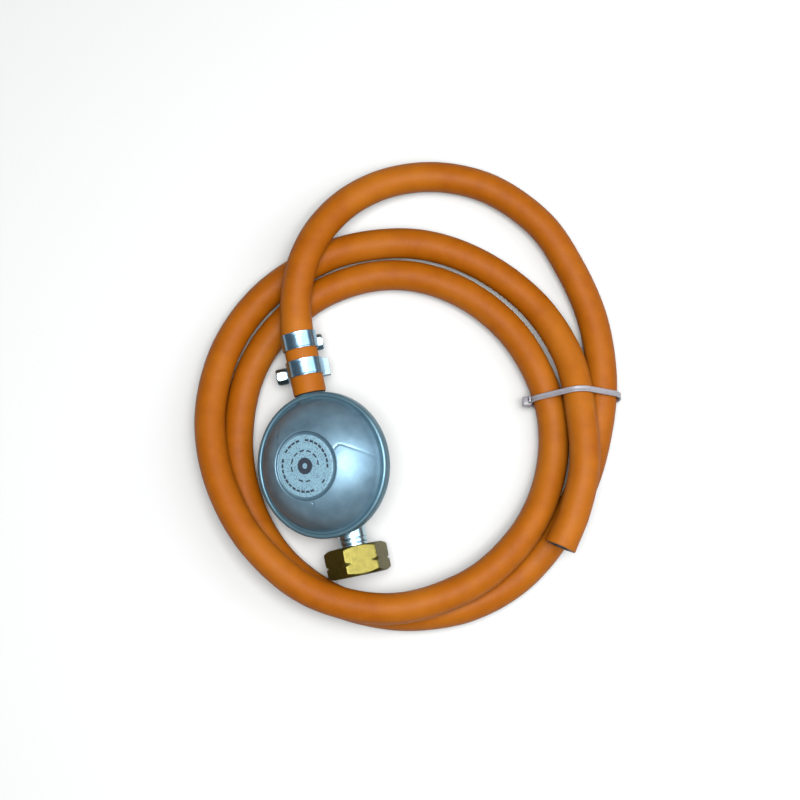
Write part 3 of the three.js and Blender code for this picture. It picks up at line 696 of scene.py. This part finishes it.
# worm, neck and hexagon head are one radius for each angle and distance
def makeScrew(name, place, span, way, neck):
    near, far = (span[1], span[0]) if way > 0 else (span[0], span[1])
    around = np.linspace(0, 2 * math.pi, 96, endpoint=False)
    flat = clampBuild["headFlats"] / 2
    hexagon = softMin([flat / np.maximum(np.cos(around - (k + 0.5) * math.pi / 3), 0.3)
                       for k in range(6)], 0.06)
    neckEnd = near + way * neck
    headEnd = neckEnd + way * clampBuild["headLength"]
    rings = [(np.full(96, 0.0), far + way)]
    for x in np.linspace(far + way, near - way, max(24, int(abs(near - far) * 6))):
        wave = (x / clampBuild["threadPitch"] + around / (2 * math.pi)) % 1
        fade = min(1, abs(x - far - way) / 0.6 + 0.2, abs(near - way - x) / 0.6 + 0.2)
        thread = clampBuild["threadDepth"] * fade * (1 - np.abs(2 * wave - 1))
        rings.append((clampBuild["core"] + thread, x))
    neckRing = np.full(96, clampBuild["neckRadius"])
    rings += [(neckRing, near - way * 0.9), (neckRing, neckEnd)]
    for share in (0, 0.04, 0.1, 0.3, 0.6, 0.82, 0.9, 0.96, 1):
        x = neckEnd + (headEnd - neckEnd) * share
        fromEnd = min(abs(x - neckEnd), abs(headEnd - x))
        rings.append((softMin([hexagon, np.full(96, 3.45 + fromEnd * 1.4)], 0.08), x))
    rings.append((np.full(96, 0.0), headEnd))
    points = [np.stack([np.full(96, x), r * np.cos(around), r * np.sin(around)], -1) for r, x in rings]
    here = place @ Matrix.Translation((0, 0, -clampBuild["wormDrop"] * mm))
    shank = skinned(name, points, place=here, sharp=40)
    ends = sorted((headEnd - 1.2 * way, headEnd + way))
    drive = block("drive", (ends[0], -5, -0.5), (ends[1], 5, 0.5), here)
    return carved(shank, ("DIFFERENCE", drive))


clamps = {"lower": {"at": 41.8, "span": (-4.3, 11.6), "way": -1, "neck": 4.8, "step": (-40, 62)},
          "upper": {"at": 55.0, "span": (-2.6, 3.0), "way": 1, "neck": 2.5, "step": (200, 300)}}
for label, plan in clamps.items():
    place = Matrix.Translation(Vector((outletX, plan["at"], outletZ)) * mm)
    addPiece(f"{label}_band", makeBand(f"{label}_band", place, plan["step"]), zincStrip,
             [f"{label}_clamp_band"])
    addPiece(f"{label}_housing", makeHousing(f"{label}_housing", place, plan["span"], clampBuild["wormDrop"]),
             zincPressed, [f"{label}_clamp_housing"])
    addPiece(f"{label}_screw", makeScrew(f"{label}_screw", place, plan["span"], plan["way"], plan["neck"]),
             zincTurned, [f"{label}_clamp_screw"], f"{label}_screw")
print("clamps done")

# the range spring, wound at one fixed height; in the regulator it shortens as the diaphragm rises
springBuild = {"Turns": 5.5, "Radius": 9 * mm, "Height": 7.3 * mm, "Wire": 0.85 * mm}
coil = grown("range_spring", coilTree(), {**springBuild, "Material": springWire["material"]}, bodyPlace,
             (0, 0, 0.6))
spring = addPiece("range_spring", tidied(coil, 60), springWire, ["main_spring"])
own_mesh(spring)

# the sheet parts at its roll: the rim is held in the body, and the web rises with the plate
diaphragmBuild = {
    "diaphragm_rim": [(22.6, -3.4), (22.9, -4.4), (25.5, -4.4), (27, -3.4), (29, -3.6), (33.7, -3.6),
                      (33.7, -2.4), (29, -2.4), (27.4, -2.6), (25.7, -3.6), (23.2, -3.6)],
    "diaphragm_web": [(2.2, -2.6), (2.2, -3.4), (21.5, -3.4), (22.3, -3.7), (22.5, -3.2), (21.2, -2.6)]}
for name, outline in diaphragmBuild.items():
    held = name == "diaphragm_rim"
    sheet = turned(name, softened(outline, 0.2, closed=True), bodyPlace, 128, True)
    addPiece(name, sheet, clothRubber, ["diaphragm"] if held else [],
             rootBody if held else "diaphragm_carrier")

insideFinishes = {
    "adjusting_ring": brassTurned, "diaphragm_plate": zincTurned, "retaining_washer": zincTurned,
    "plate_nut": zincTurned, "diaphragm_stem": brassTurned, "lever": zincTurned,
    "lever_pin": springWire, "valve_piston": brassTurned, "valve_pad": nitrile, "inlet_orifice": brassTurned,
    "inlet_filter": bronzeMesh, "hose_nozzle": zincTurned,
}
for name, kit in insideFinishes.items():
    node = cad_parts[name]
    if not node.material_slots:
        node.data.materials.append(None)
    for spot in node.material_slots:
        spot.material = kit["material"]
print("inside done")

# floor card, sky and lamps
room = {"floor": "b4b4b2", "size": 1.6, "level": -0.0004, "aim": (0.03, 0, 0.02), "sky": "e6edf4",
        "skyStrength": 0.19}
floorMesh = bpy.data.meshes.new("floor")
reach, level = room["size"], room["level"]
floorMesh.from_pydata([(-reach, -reach, level), (reach, -reach, level), (reach, reach, level),
                       (-reach, reach, level)], [], [(0, 1, 2, 3)])
floor = bpy.data.objects.new("floor", floorMesh)
scene.collection.objects.link(floor)
paper = surface("paperBacking", (room["floor"], room["floor"]), 40, 2, 0.01, (0.8, 0.9))
floorMesh.materials.append(paper["material"])

world = bpy.data.worlds.new("studio")
world.use_nodes = True
scene.world = world
world.node_tree.nodes["Background"].inputs["Color"].default_value = linear(room["sky"])
world.node_tree.nodes["Background"].inputs["Strength"].default_value = room["skyStrength"]

lamps = {"top": {"at": (0.06, -0.06, 1.10), "size": 0.56, "power": 21, "colour": "ffffff"},
         "side": {"at": (0.52, -0.04, 0.62), "size": 0.7, "power": 5.5, "colour": "f4f8ff"},
         "fill": {"at": (-0.42, -0.30, 0.70), "size": 0.5, "power": 1.0, "colour": "eef4ff"}}
for label, lamp in lamps.items():
    light = bpy.data.objects.new(label, bpy.data.lights.new(label, "AREA"))
    light.data.size = lamp["size"]
    light.data.energy = lamp["power"]
    light.data.color = linear(lamp["colour"])[:3]
    light.location = lamp["at"]
    light.rotation_euler = (Vector(lamp["at"]) - Vector(room["aim"])).to_track_quat("Z", "Y").to_euler()
    scene.collection.objects.link(light)
scene.view_settings.view_transform = "Standard"
print("light done")
